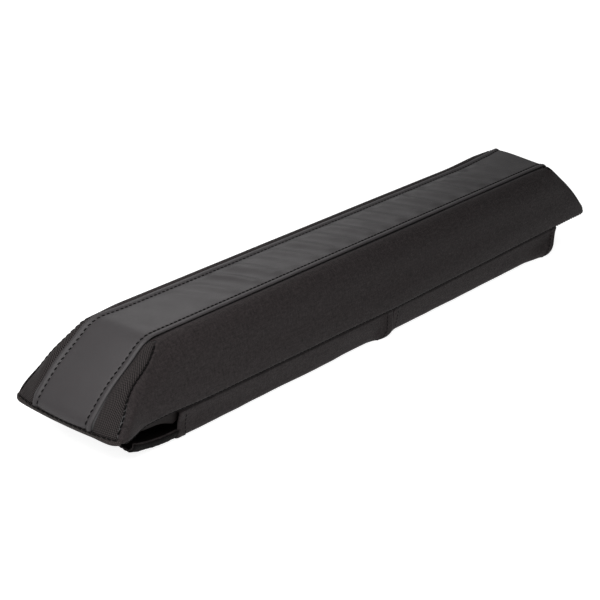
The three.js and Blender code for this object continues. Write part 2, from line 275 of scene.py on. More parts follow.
def settled(points):
    p = np.array(points, float)
    x, y, z = p[..., 0], p[..., 1], p[..., 2]
    up = z - cover["foot"]
    low = 1 - blend(up, 0, slack["lowShare"] * cover["height"])
    side = blend(np.abs(y), *slack["sideSpan"])
    bow = np.clip(1 - (x / (slack["farBowShare"] * cover["halfLength"])) ** 2, -0.5, 1)
    tuck = blend(x, slack["rightTuckFrom"], cover["halfLength"])
    right = -slack["rightTuck"] * tuck * (1 - blend(up, *slack["rightTuckHeights"]))
    right = right + slack["rightBlunt"] * tuck * bumpAt(up, slack["rightBluntAt"])
    left = leftBulge(y, up) * blend(-x, *slack["leftSpan"])
    crest = slack["rightCrest"] * sharpened(x, up)
    p[..., 0] = x + right - left + (x - crestCentre[0]) * crest
    p[..., 1] = y + np.where(y < 0, drawnIn(x), slack["farBow"] * bow) * low * side
    across = 1 - ((y - slack["endSagMiddle"]) / slack["endSagHalf"]) ** 2
    sag = slack["endSag"] * across * blend(-x, *slack["endSagSpan"]) ** 1.2
    rise = slack["lift"] * bumpAt(x, slack["liftAt"]) * blend(-y, *slack["liftSpan"])
    p[..., 2] = z - sag + rise * low**3 - slack["rightLower"] * tuck * low + (up - crestCentre[1]) * crest
    top = blend(up, cover["height"] - 12, cover["height"] - 1)
    lengthwise = slack["rightRise"] * blend(x, *slack["rightRiseSpan"])
    p[..., 2] += lengthwise * blend(y, *slack["rightRiseAcross"]) * top
    return p


def addPiece(name, points, faces, cut=None):
    mesh = bpy.data.meshes.new(name)
    mesh.from_pydata((np.asarray(points) * mm).tolist(), [], faces)
    if cut is not None:
        layer = mesh.uv_layers.new(name="clothMap")
        corner = np.zeros(len(mesh.loops), int)
        mesh.loops.foreach_get("vertex_index", corner)
        layer.uv.foreach_set("vector", (np.asarray(cut)[corner] * mm).astype(np.float32).ravel())
    mesh.polygons.foreach_set("use_smooth", [True] * len(mesh.polygons))
    mesh.validate()
    piece = placed(name, mesh)
    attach(piece, "root")
    return piece


def clothSheet(name, grid, thickness, cut, core, *finish):
    # A closed sheet of cloth with thin edges: the grid is its outer face, core a point on its inner side
    rows, cols = grid.shape[:2]
    normal, flipped = gridNormals(grid, core)
    depth = thickness * np.ones((rows, cols))
    outer = grid.copy()
    rim = np.zeros((rows, cols), bool)
    rim[[0, -1], :] = True
    rim[:, [0, -1]] = True
    outer[rim] -= normal[rim] * depth[rim][:, None] * 0.28
    depth[rim] *= 0.44
    inner = outer - normal * depth[:, :, None]
    points = np.concatenate([outer.reshape(-1, 3), inner.reshape(-1, 3)])
    flatCut = np.concatenate([cut.reshape(-1, 2), cut.reshape(-1, 2)])
    index = np.arange(rows * cols).reshape(rows, cols)
    a, b, c, d = index[:-1, :-1], index[:-1, 1:], index[1:, 1:], index[1:, :-1]
    face = np.stack([a, b, c, d] if flipped else [a, d, c, b], axis=-1).reshape(-1, 4)
    under = face[:, ::-1] + rows * cols
    loop = np.concatenate([index[0, :-1], index[:-1, -1], index[-1, :0:-1], index[:0:-1, 0]])
    after = np.roll(loop, -1)
    rim = np.stack([loop, after, after + rows * cols, loop + rows * cols], axis=-1)
    if flipped:
        rim = rim[:, ::-1]
    return finished(addPiece(name, points, np.concatenate([face, under, rim]).tolist(), flatCut), *finish)


def rolled(section):
    # The corners cut off a closed outline, so that it turns round
    section = np.asarray(section, float)
    after = np.roll(section, -1, axis=0)
    return np.stack([0.75 * section + 0.25 * after, 0.25 * section + 0.75 * after], axis=1).reshape(-1, 2)


def sweptRope(name, rings, along, around, *finish):
    # A closed band through rings of points: rings is stations x section x 3
    stations, sides = rings.shape[:2]
    points = rings.reshape(-1, 3)
    cut = together(along[:, None], around[None, :]).reshape(-1, 2)
    index = np.arange(stations * sides).reshape(stations, sides)
    after = np.roll(index, -1, axis=1)
    skin = np.stack([index[:-1], index[1:], after[1:], after[:-1]], axis=-1).reshape(-1, 4).tolist()
    ends = [index[0].tolist(), index[-1, ::-1].tolist()]
    piece = addPiece(name, points, skin + ends, cut)
    centre = rings.mean(axis=1, keepdims=True)
    a, b, d = rings[0, 0], rings[1, 0], rings[0, 1]
    if np.dot(np.cross(b - a, d - a), a - centre[0, 0]) < 0:
        piece.data.flip_normals()
    finished(piece, *finish)


threads = {"pitch": 5.2, "length": 3.4, "radius": 0.6, "lift": 0.1, "slant": 0.3, "jitter": 0.15, "sides": 6}
seams = {
    "topstitch": {},
    "lower": {"length": 5.3, "radius": 0.65},
    "gusset": {"length": 4.75, "radius": 0.75},
    "binding": {"length": 4.5, "radius": 0.6},
    "hem": {"pitch": 3.8, "length": 2.7, "radius": 0.4},
}


def stitchRun(name, seam, path, normals, slot):
    # Thread seen between two needle holes, again and again along a path
    pitch, length, radius = ({**threads, **seams[seam]}[key] for key in ("pitch", "length", "radius"))
    along = lengthAlong(path)
    count = int((along[-1] - length) / pitch)
    start = (along[-1] - (count - 1) * pitch - length) / 2
    shares = np.array([0.0, 0.12, 0.35, 0.65, 0.88, 1.0])
    widths = radius * np.array([0.35, 0.85, 1.0, 1.0, 0.85, 0.35])
    rises = threads["lift"] * np.array([-3.0, 0.25, 1.0, 1.0, 0.25, -3.0])
    sides = threads["sides"]
    turn = np.linspace(0, 2 * np.pi, sides, endpoint=False)
    points, faces = [], []
    for k in range(count):
        stations = start + k * pitch + length * shares
        centre = readAt(path, along, stations)
        up = unit(readAt(normals, along, stations))
        aside = unit(np.cross(np.gradient(centre, axis=0), up))
        lean = (threads["slant"] + luck.uniform(-threads["jitter"], threads["jitter"])) * 2 * (shares - 0.5)
        middle = centre + up * rises[:, None] + aside * lean[:, None]
        ring = np.cos(turn)[None, :, None] * aside[:, None, :] + np.sin(turn)[None, :, None] * up[:, None, :]
        base = len(points)
        points.extend((middle[:, None, :] + widths[:, None, None] * ring).reshape(-1, 3))
        for j in range(len(shares) - 1):
            for t in range(sides):
                low, high, n = base + j * sides, base + (j + 1) * sides, (t + 1) % sides
                faces.append([low + t, low + n, high + n, high + t])
        last = base + (len(shares) - 1) * sides
        faces.append([base + t for t in reversed(range(sides))])
        faces.append([last + t for t in range(sides)])
    return finished(addPiece(name, points, faces), blackThread, slot)


print("pad: tools ready")


# Materials. Each cloth has its own weave, worked out in the cloth's flat coordinates
def feed(tree, node, inputs):
    # Sets a node's inputs, by name or number, to values or to what other nodes put out
    for key, value in inputs.items():
        if isinstance(value, bpy.types.NodeSocket):
            tree.links.new(value, node.inputs[key])
        else:
            node.inputs[key].default_value = value


def newNode(tree, kind, inputs, **settings):
    node = tree.nodes.new("ShaderNode" + kind)
    for key, value in settings.items():
        setattr(node, key, value)
    feed(tree, node, inputs)
    return node.outputs


def newMaterial(name):
    material = bpy.data.materials.new(name)
    material.use_nodes = True
    tree = material.node_tree
    tree.nodes.clear()
    shader = tree.nodes.new("ShaderNodeBsdfPrincipled")
    newNode(tree, "OutputMaterial", {"Surface": shader.outputs["BSDF"]})
    return material, tree, shader, partial(mathNode, tree)


def mathNode(tree, operation, *values):
    return newNode(tree, "Math", dict(enumerate(values)), operation=operation)[0]


def noiseNode(tree, vector, scale, detail=2.0, roughness=0.5):
    inputs = {"Vector": vector, "Scale": scale, "Detail": detail, "Roughness": roughness}
    return newNode(tree, "TexNoise", inputs)["Fac"]


def cellNode(tree, vector, scale):
    return newNode(tree, "TexVoronoi", {"Vector": vector, "Scale": scale})["Distance"]


def stretched(tree, vector, scale, turn=0.0):
    return newNode(tree, "Mapping", {"Vector": vector, "Scale": scale, "Rotation": (0, 0, turn)})["Vector"]


def clothPlace(tree):
    return newNode(tree, "UVMap", {}, uv_map="clothMap")["UV"]


def objectPlace(tree):
    return newNode(tree, "TexCoord", {})["Object"]


def threadSwell(calc, across):
    # Height of the threads over their width
    return calc("COSINE", calc("MULTIPLY", calc("SUBTRACT", calc("FRACT", across), 0.5), pi))


def weave(tree, place, thread, turn=0.0):
    # Plain weave: returns its height, and 1 where a lengthwise thread is on top
    calc = partial(mathNode, tree)
    flat = stretched(tree, place, (1 / (thread * mm), 1 / (thread * mm), 1), turn)
    u, v, _ = newNode(tree, "SeparateXYZ", {0: flat})
    swellU, swellV = threadSwell(calc, u), threadSwell(calc, v)
    onTop = calc("PINGPONG", calc("ADD", calc("FLOOR", u), calc("FLOOR", v)), 1.0)
    lengthwise = calc("MULTIPLY", swellU, calc("MULTIPLY_ADD", swellV, 0.5, 0.5))
    crosswise = calc("MULTIPLY", swellV, calc("MULTIPLY_ADD", swellU, 0.5, 0.5))
    return calc("ADD", crosswise, calc("MULTIPLY", onTop, calc("SUBTRACT", lengthwise, crosswise))), onTop


def tinted(tree, share, look):
    # A colour between two, by a share from 0 to 1
    inputs = {"Factor": share, 6: (*look["dark"], 1), 7: (*look["light"], 1)}
    return newNode(tree, "Mix", inputs, data_type="RGBA")[2]


def relief(tree, shader, layers):
    # Bump layers, coarse ones first: (height, strength, depth in millimetres)
    below = {}
    for height, strength, depth in layers:
        inputs = {"Strength": strength, "Distance": depth * mm, "Height": height, **below}
        below = {"Normal": newNode(tree, "Bump", inputs)["Normal"]}
    feed(tree, shader, below)


def paint(tree, shader, look, shade, rough, layers):
    # What every material has: a tint between two colours, a roughness, a gloss and a relief
    colour = tinted(tree, shade, look)
    feed(tree, shader, {"Base Color": colour, "Roughness": rough, "Specular IOR Level": look["gloss"]})
    relief(tree, shader, layers)


grain = {
    "slubStretch": 0.07,  # a thick place in a thread is this much of its length across
    "slubShine": -0.2, "weaveMean": 0.6, "fleckNoise": (2.0, 0.6), "creaseNoise": (3.0, 0.55),
    "creaseStrength": 0.35,
    "wovenDepth": 0.35,  # depth of the weave, in threads
    "sheenRoughness": 0.45, "cloudShine": -0.14, "cloudStrength": 0.3, "coatGrain": (0.25, 0.08),
    "coatedDepth": 0.3, "tuftReach": 1.3,
}


def wovenCloth(name, look):
    # Dull woven polyester: threads of uneven shade, with a faint sheen
    material, tree, shader, calc = newMaterial(name)
    place = clothPlace(tree)
    turn = look.get("turn", 0.0)
    height, onTop = weave(tree, place, look["thread"], turn)
    fine = 1 / (look["thread"] * mm)
    wide = fine * grain["slubStretch"]
    slubA = noiseNode(tree, stretched(tree, place, (fine, wide, 1), turn), 1.0, 1.0)
    slubB = noiseNode(tree, stretched(tree, place, (wide, fine, 1), turn), 1.0, 1.0)
    slub = calc("ADD", calc("MULTIPLY", onTop, calc("SUBTRACT", slubA, slubB)), slubB)
    fleck = noiseNode(tree, place, look["fleckScale"], *grain["fleckNoise"])
    shade = calc("MULTIPLY_ADD", slub, look["slub"], calc("MULTIPLY", height, look["relief"]))
    shade = calc("MULTIPLY_ADD", fleck, look["fleck"], shade)
    shade = calc("MULTIPLY_ADD", onTop, look["twoTone"], shade)  # one set of threads is paler
    level = 0.5 * (look["slub"] + look["fleck"] + look["twoTone"]) + grain["weaveMean"] * look["relief"] - 0.5
    rough = calc("MULTIPLY_ADD", slub, grain["slubShine"], look["roughness"] - grain["slubShine"] / 2)
    feed(tree, shader, {"Sheen Weight": look["sheen"], "Sheen Roughness": grain["sheenRoughness"]})
    creases = noiseNode(tree, place, look["creaseScale"], *grain["creaseNoise"])
    layers = [(creases, grain["creaseStrength"], look["crease"])]
    layers.append((height, look["bump"], look["thread"] * grain["wovenDepth"]))
    paint(tree, shader, look, calc("SUBTRACT", shade, level), rough, layers)
    return material


def coatedCloth(name, look):
    # Smooth coated cloth: the weave below only just shows, and the surface takes a soft light
    material, tree, shader, calc = newMaterial(name)
    place = clothPlace(tree)
    height, _ = weave(tree, place, look["thread"], look.get("turn", 0.0))
    cloud = noiseNode(tree, place, look["cloudScale"], *grain["creaseNoise"])
    fine = noiseNode(tree, place, look["grainScale"], *grain["fleckNoise"])
    shade = calc("MULTIPLY_ADD", cloud, look["cloud"], calc("MULTIPLY", fine, look["grain"]))
    shade = calc("SUBTRACT", shade, 0.5 * (look["cloud"] + look["grain"]) - 0.5)
    rough = calc("MULTIPLY_ADD", cloud, grain["cloudShine"], look["roughness"] - grain["cloudShine"] / 2)
    layers = [(cloud, grain["cloudStrength"], look["crease"]), (fine, *grain["coatGrain"])]
    layers.append((height, look["bump"], look["thread"] * grain["coatedDepth"]))
    paint(tree, shader, look, shade, rough, layers)
    return material


def threadCloth(name, look):
    # Twisted black polyester thread
    material, tree, shader, _ = newMaterial(name)
    twist = noiseNode(tree, objectPlace(tree), look["twistScale"], 1.0)
    paint(tree, shader, look, twist, look["roughness"], [(twist, 0.5, 0.1)])
    return material


def pileCloth(name, look):
    # Hook and loop tape: a short fuzzy pile
    material, tree, shader, calc = newMaterial(name)
    place = clothPlace(tree)
    fuzz = noiseNode(tree, place, look["fuzzScale"], 4.0, 0.7)
    tuft = cellNode(tree, place, look["tuftScale"])
    shade = calc("MULTIPLY", fuzz, calc("SUBTRACT", grain["tuftReach"], tuft))
    feed(tree, shader, {"Sheen Weight": look["sheen"]})
    paint(tree, shader, look, shade, look["roughness"], [(tuft, 0.8, -0.4), (fuzz, 0.9, 0.5)])
    return material


def foamStuff(name, look):
    # Closed-cell foam
    material, tree, shader, _ = newMaterial(name)
    cells = cellNode(tree, objectPlace(tree), look["cellScale"])
    paint(tree, shader, look, cells, look["roughness"], [(cells, 0.6, 0.4)])
    return material


coatedTop = coatedCloth("coatedTop", {
    "thread": 0.5, "turn": 0.785, "bump": 0.25, "roughness": 0.46, "gloss": 0.17, "crease": 0.35,
    "cloudScale": 45.0, "cloud": 0.5, "grainScale": 900.0, "grain": 0.7,
    "dark": (0.0255, 0.0234, 0.0242), "light": (0.0372, 0.0341, 0.0353),
})
wovenSide = wovenCloth("wovenSide", {
    "thread": 0.75, "bump": 0.5, "roughness": 0.72, "gloss": 0.13, "sheen": 0.01, "crease": 0.5,
    "creaseScale": 28.0, "fleckScale": 420.0, "fleck": 1.6, "slub": 1.5, "relief": 0.9, "twoTone": 0.2,
    "dark": (0.0053, 0.004, 0.0041), "light": (0.0265, 0.021, 0.0214),
})
coarseGusset = wovenCloth("coarseGusset", {
    "thread": 1.0, "turn": 0.3, "bump": 0.8, "roughness": 0.7, "gloss": 0.1, "sheen": 0.01, "crease": 0.3,
    "creaseScale": 30.0, "fleckScale": 700.0, "fleck": 0.8, "slub": 0.8, "relief": 1.1, "twoTone": 1.6,
    "dark": (0.0002, 0.0001, 0.0001), "light": (0.0366, 0.0311, 0.0308),
})
wovenFlap = wovenCloth("wovenFlap", {
    "thread": 0.75, "bump": 0.5, "roughness": 0.75, "gloss": 0.12, "sheen": 0.01, "crease": 0.6,
    "creaseScale": 24.0, "fleckScale": 420.0, "fleck": 1.5, "slub": 1.4, "relief": 0.9, "twoTone": 0.2,
    "dark": (0.007, 0.0055, 0.0056), "light": (0.03, 0.024, 0.0245),
})
bindingTape = wovenCloth("bindingTape", {
    "thread": 1.0, "turn": 0.9, "bump": 0.7, "roughness": 0.7, "gloss": 0.15, "sheen": 0.01, "crease": 0.2,
    "creaseScale": 40.0, "fleckScale": 600.0, "fleck": 0.8, "slub": 1.0, "relief": 1.0, "twoTone": 0.8,
    "dark": (0.003, 0.0024, 0.0023), "light": (0.038, 0.030, 0.0285),
})
coatedLining = coatedCloth("coatedLining", {
    "thread": 0.6, "bump": 0.35, "roughness": 0.6, "gloss": 0.06, "crease": 0.8,
    "cloudScale": 60.0, "cloud": 0.6, "grainScale": 800.0, "grain": 0.6,
    "dark": (0.009, 0.0075, 0.0074), "light": (0.016, 0.0133, 0.013),
})
blackThread = threadCloth("blackThread", {
    "twistScale": 2500.0, "roughness": 0.6, "gloss": 0.05,
    "dark": (0.001, 0.001, 0.001), "light": (0.005, 0.0045, 0.0045),
})
loopPile = pileCloth("loopPile", {
    "fuzzScale": 1400.0, "tuftScale": 900.0, "roughness": 0.95, "sheen": 0.02, "gloss": 0.05,
    "dark": (0.0004, 0.0003, 0.0003), "light": (0.007, 0.006, 0.0057),
})
darkFoam = foamStuff("padFoam", {
    "cellScale": 1200.0, "roughness": 0.9, "gloss": 0.5,
    "dark": (0.02, 0.02, 0.02), "light": (0.04, 0.04, 0.041),
})
print("pad: materials ready")


def finished(piece, material, slot, *nodes):
    piece.data.materials.append(material)
    if nodes:
        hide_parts(*nodes)
    return piece


def planArc(long, wide, angles):
    # A rounded corner of the cover, seen from above
    radius = cover["planCorner"]
    return np.column_stack([long - radius + radius * np.cos(angles), wide - radius + radius * np.sin(angles)])


def raised(plan, height, end=1, side=1):
    # A line drawn in plan, set at a height and mirrored by its signs
    return np.column_stack([end * plan[:, 0], side * plan[:, 1], np.broadcast_to(height, len(plan))])


# Foam block, seen by nobody but felt in the cover's shape
def foamBlock():
    inset = cover["cloth"] + 2 * cover["gap"]
    radius = cover["planCorner"] - inset
    turn = np.linspace(0, 2 * np.pi, 96, endpoint=False)
    rings = []
    for h in np.linspace(0, cover["height"], 30):
        long, wide = halfLengthAt(h) - inset, halfWidthAt(h) - inset
        middle = [np.sign(np.cos(turn)) * (long - radius), np.sign(np.sin(turn)) * (wide - radius)]
        plan = together(*middle) + radius * together(np.cos(turn), np.sin(turn))
        plan = evenly(np.concatenate([plan, plan[:1]]), count=361)[:-1]
        z = cover["foot"] + inset + h * (cover["height"] - 2 * inset) / cover["height"]
        rings.append(raised(plan, z))
    rings = settled(np.array(rings))
    index = np.arange(rings.shape[0] * rings.shape[1]).reshape(rings.shape[:2])
    after = np.roll(index, -1, axis=1)
    skin = np.stack([index[:-1], after[:-1], after[1:], index[1:]], axis=-1).reshape(-1, 4).tolist()
    piece = addPiece("foamBlock", rings.reshape(-1, 3), skin + [index[0, ::-1].tolist(), index[-1].tolist()])
    finished(piece, darkFoam, "foam", "foam_core")


foamBlock()


# Top panel and welts follow one long profile, from nose to nose
strip = {
    "low": 4.2,  # where the end bindings begin, above the cover's foot
    "step": 1.6, "columns": 45,
    "under": 0.1,  # how far it reaches in under the welts
    "crown": 0.9, "stitchDip": (0.15, 1.7), "unevenness": 0.22,
    "farWiden": 4.8,  # the strip is cut wider towards its ends, on the far side
    "widenFrom": 285.0, "widenTo": 345.0,
}
ripples = {
    "first": -232.0, "last": 262.0, "spacing": 29.0, "jitter": 4.0,
    "slant": 0.42,  # how far a ripple runs along the pad for each millimetre across
    "curve": 0.0012, "height": 2.4, "width": 8.5,
    "trough": (0.45, 1.6, 1.3),  # depth, distance and width beside each ridge, as shares of it
    "edgeSpan": (0.5, 9.0), "sideSpan": (-22.0, 8.0), "fade": 60.0, "lastSpan": (242.0, 287.0),
}


def stripProfile():
    heights = np.linspace(strip["low"], cover["height"], 260)
    left = np.column_stack([-halfLengthAt(heights), heights])
    right = left[::-1] * np.array([-1, 1])
    profile = evenly(np.concatenate([left, right]), strip["step"])
    ahead = unit(np.gradient(profile, axis=0))
    normal = np.column_stack([-ahead[:, 1], ahead[:, 0]])
    return profile + np.array([0, cover["foot"]]), normal, lengthAlong(profile)


profile, profileNormal, profileAlong = stripProfile()


def onStrip(y, lift):
    # Points on the strip, one row for each y
    return together(profile[:, 0] + profileNormal[:, 0] * lift, y, profile[:, 1] + profileNormal[:, 1] * lift)


def widened(x, side):
    # How much further out the strip's edge lies, on its far side only
    return strip["farWiden"] * blend(np.abs(x), strip["widenFrom"], strip["widenTo"]) * (side > 0)


def rippleLift(x, y):
    # Slanting ripples across the strip, lower on its near side
    dice = np.random.default_rng(21)
    total = np.zeros(np.broadcast_shapes(x.shape, y.shape))
    edge = blend(cover["panelHalf"] - np.abs(y), *ripples["edgeSpan"])
    side = 0.5 + 0.5 * blend(y, *ripples["sideSpan"])
    depth, away, spread = ripples["trough"]
    count = int((ripples["last"] - ripples["first"]) / ripples["spacing"]) + 1
    for k in range(count):
        at = ripples["first"] + k * ripples["spacing"] + dice.uniform(-1, 1) * ripples["jitter"]
        slant = ripples["slant"] * dice.uniform(0.8, 1.2)
        wide = ripples["width"] * dice.uniform(0.75, 1.3)
        strength = dice.uniform(0.65, 1.15)
        d = x + slant * y + ripples["curve"] * y**2 - at
        total = total + strength * (bump(d, wide) - depth * bump(d - away * wide, spread * wide))
    ends = blend(x, ripples["first"] - ripples["fade"], ripples["first"] + ripples["fade"])
    ends = ends * (1 - blend(x, *ripples["lastSpan"]))
    return ripples["height"] * total * edge * side * ends


def topPanel():
    half = cover["panelHalf"] + strip["under"]
    y = np.linspace(-half, half, strip["columns"])[:, None]
    x = profile[None, :, 0]
    lift = strip["crown"] * (1 - (y / half) ** 2)
    lift -= dip(half - np.abs(y), strip["stitchDip"])
    lift = lift + strip["unevenness"] * softField(profileAlong[None, :], y, (46, 21), 3)
    lift += rippleLift(x, y)
    grid = settled(onStrip(y * (1 + widened(x, y) / half), lift))
    cut = together(profileAlong[None, :], y)
    piece = clothSheet("topPanel", grid, cover["cloth"], cut, padCore, coatedTop, "coated_top", "top_panel")


# The welt is a rolled edge that stands up between the topstitching and the side panel
welts = {
    "start": 0.15, "swell": 0.16, "wander": 0.18, "pucker": 0.05,
    "line": {-1: -0.35, 1: 0.2},  # topstitching of the near and far one, out from the strip's edge
    "lineDip": {-1: 0.0, 1: 0.3},
}
weltSection = [
    (-0.9, -1.5), (-0.7, -0.45), (0.0, -0.25), (0.9, 0.25), (2.1, 0.85), (3.5, 1.0), (4.7, 0.7), (5.5, 0.1),
    (5.7, -0.3), (5.3, -0.9), (4.4, -1.5), (3.2, -2.1), (1.6, -2.0),
]


def welt(side, name, node):
    section = rolled(weltSection)
    start = cover["panelHalf"] + welts["start"]
    swell = 1 + welts["swell"] * softField(profileAlong, 0, (17, 9), 11 + side)
    wander = welts["wander"] * softField(profileAlong, 0, (60, 9), 31 + side)
    pucker = welts["pucker"] * np.sin(2 * np.pi * profileAlong / threads["pitch"])
    rings = []
    for across, rise in section:
        lift = rise * swell + pucker if rise > 0 else rise
        rings.append(onStrip(side * (start + across + wander + widened(profile[:, 0], side)), lift))
    rings = settled(np.stack(rings, axis=1))
    sweptRope(name, rings, profileAlong, lengthAlong(section), coatedTop, "coated_top", node)
    line = side * (cover["panelHalf"] + welts["line"][side]) + widened(profile[:, 0], side)
    path = together(profile[:, 0], line, profile[:, 1])
    normals = together(profileNormal[:, 0], 0.0, profileNormal[:, 1])
    path = settled(path - normals * welts["lineDip"][side])
    stitchRun(name + "Topstitch", "topstitch", path, normals, "coated_top")


topPanel()
welt(-1, "nearWelt", "near_top_welt")
welt(1, "farWelt", "far_top_welt")
print("pad: top panel and welts")


# Side panels and gussets meet on the ridge of each corner
corners = {
    "angle": 45.0,
    "lowTurn": 19.0,  # low down, the near seams turn towards the end
    "lowSpan": (0.5, 6.0), "lowFade": (24.0, 52.0),
    "headTurn": 19.0,  # high up, every seam turns towards the side
    "headSpan": (34.0, 56.0), "seamDip": (1.0, 1.7), "pillow": 0.55, "pillowReach": 14.0,
    "shoulder": 3.2,  # foam pushes the upper part of the side out
    "shoulderAt": (24.0, 16.0), "shoulderSpan": (4.0, 42.0), "unevenness": 0.35, "groove": 0.8,
    "grooveAt": (2.6, 1.7), "lowerSeam": 3.6, "gussetUnevenness": 0.3, "gussetSeam": 0.45,
    "weltDip": (1.1, 2.2), "bindingTurn": 6.0,
}
# Under the welt, out from its edge and up from the top
sideTuck = [(-2.0, -3.3), (-0.4, -2.7), (1.2, -2.2), (2.8, -1.75)]
sideFoot = [(-0.5, 0.8), (-1.3, 0.25), (-2.6, 0.0), (-4.4, 0.0)]


def sideSection():
    top, foot = cover["height"], 1.6
    heights = np.concatenate([np.linspace(top - 1.35, top - 9, 40), np.linspace(top - 9.5, foot, 60)])
    body = [(float(halfWidthAt(h)), h) for h in heights]
    tuck = [(cover["weltEdge"] + out, top + rise) for out, rise in sideTuck]
    return evenly(tuck + body + [(float(halfWidthAt(foot)) + out, rise) for out, rise in sideFoot], count=56)


def seamAngle(height, side):
    # Where on the plan corner the seam lies
    head = float(blend(height, *corners["headSpan"]))
    low = blend(height, *corners["lowSpan"]) * (1 - blend(height, *corners["lowFade"]))
    low = float(low) * (side < 0)
    return radians(corners["angle"] + corners["headTurn"] * head - corners["lowTurn"] * low)


def sidePanel(side, name, node):
    rows = []
    for wide, height in sideSection():
        long = float(halfLengthAt(max(height, 0.0)))
        angles = np.linspace(seamAngle(height, side), pi / 2, 10)[:-1]
        arc = planArc(long, wide, angles)
        straight = np.linspace(long - cover["planCorner"], cover["planCorner"] - long, 300)
        run = np.column_stack([straight, np.full(len(straight), wide)])
        plan = np.concatenate([arc, run, arc[::-1] * np.array([-1, 1])])
        rows.append(raised(plan, cover["foot"] + height, 1, side))
    grid = np.array(rows)
    normal, _ = gridNormals(grid, padCore)
    fromStart = np.array([lengthAlong(row) for row in grid])
    fromEdge = np.minimum(fromStart, fromStart[:, -1:] - fromStart)
    down = lengthAlong(sideSection())[:, None]
    fromTop, fromFoot = down - 2.0, down[-1] - down
    lift = corners["pillow"] * (1 - np.exp(-np.clip(fromEdge, 0, None) / corners["pillowReach"]))
    lift -= dip(fromEdge, corners["seamDip"])
    shoulder = corners["shoulder"] * bumpAt(fromTop, corners["shoulderAt"])
    lift += shoulder * blend(fromEdge, *corners["shoulderSpan"])
    lift += corners["unevenness"] * softField(grid[..., 0], down, (75, 24), 41 + side)
    lift -= corners["groove"] * bumpAt(fromFoot, corners["grooveAt"])
    grid = settled(grid + normal * lift[..., None])
    cut = together(grid[..., 0], down)
    piece = clothSheet(name, grid, cover["cloth"], cut, padCore, wovenSide, "woven_side", node)
    row = int(np.argmin(np.abs(fromFoot[:, 0] - corners["lowerSeam"])))
    stitchRun(name + "LowerSeam", "lower", grid[row], normal[row], "woven_side")


def gussetGrid(end, side):
    top = cover["height"]
    upper, lower = np.linspace(top - 2.0, top - 14, 18), np.linspace(top - 15, strip["low"] - 0.4, 34)
    rows = []
    for height in np.concatenate([upper, lower]):
        long, wide = float(halfLengthAt(height)), float(halfWidthAt(height))
        arc = planArc(long, wide, np.linspace(seamAngle(height, side), 0, 14))
        inner = cover["weltEdge"] - 0.5 + widened(long, side)
        last = [float(np.interp(inner, arc[::-1, 1], arc[::-1, 0])), inner]
        plan = evenly(np.concatenate([arc[arc[:, 1] > inner], [last]]), count=24)
        rows.append(raised(plan, cover["foot"] + height, end, side))
    return np.array(rows)


def gusset(end, side, name, node):
    core = (end * 300.0, 0.0, cover["foot"] + 10)
    grid = gussetGrid(end, side)
    normal, _ = gridNormals(grid, core)
    across = np.array([lengthAlong(row) for row in grid])
    down = lengthAlong(grid[:, 0])[:, None]
    lift = corners["pillow"] * np.minimum(1, across[:, -1:] / 20) * np.sin(np.pi * across / across[:, -1:])
    lift -= dip(across, corners["seamDip"])
    lift -= dip(across[:, -1:] - across, corners["weltDip"])
    lift += corners["gussetUnevenness"] * softField(across, down, (12, 17), 51 + 2 * end + side)
    skin = settled(grid + normal * lift[..., None])
    cut = together(across, down)
    piece = clothSheet(name, skin, cover["cloth"], cut, core, coarseGusset, "coarse_gusset", node)
    seam = settled(grid[:, 0] - normal[:, 0] * corners["gussetSeam"])
    stitchRun(name + "SeamStitch", "gusset", seam, normal[:, 0], "coarse_gusset")


for side, sideName in ((-1, "near"), (1, "far")):
    sidePanel(side, sideName + "SidePanel", sideName + "_side_panel")
    for end, endName in ((-1, "left"), (1, "right")):
        gusset(end, side, f"{sideName}{endName.capitalize()}Gusset", f"{sideName}_{endName}_gusset")
print("pad: side panels and gussets")


# Binding over the lower edge of each end
bindingSection = [
    (-1.2, 0.2), (-0.3, -0.15), (0.45, 0.05), (0.95, 0.8), (1.05, 2.0),
    (0.95, 3.1), (0.5, 3.9), (-0.2, 4.1), (-1.2, 4.0),
]


def endBinding(end, name, node):
    height = 2.4
    long, wide = float(halfLengthAt(height)), float(halfWidthAt(height))
    arc = planArc(long, wide, np.linspace(radians(corners["angle"] + corners["bindingTurn"]), 0, 16))
    path = evenly(np.concatenate([arc, arc[::-1] * np.array([1, -1])]), 1.5)
    ahead = unit(np.gradient(path, axis=0))
    outward = np.column_stack([-ahead[:, 1], ahead[:, 0]])
    section = rolled(bindingSection)
    along = lengthAlong(path)
    rings = []
    for out, rise in section:
        plan = path + outward * out
        z = cover["foot"] + rise + 0.12 * softField(along, 0, (14, 9), 61 + end)
        rings.append(raised(plan, z, end))
    rings = settled(np.stack(rings, axis=1))
    sweptRope(name, rings, along, lengthAlong(section), bindingTape, "binding", node)
    seam = settled(raised(path + outward * 0.5, cover["foot"] + 4.25, end))
    stitchRun(name + "Stitch", "binding", seam, raised(outward, 0.7, end), "binding")


endBinding(-1, "leftEndBinding", "left_end_binding")
endBinding(1, "rightEndBinding", "right_end_binding")


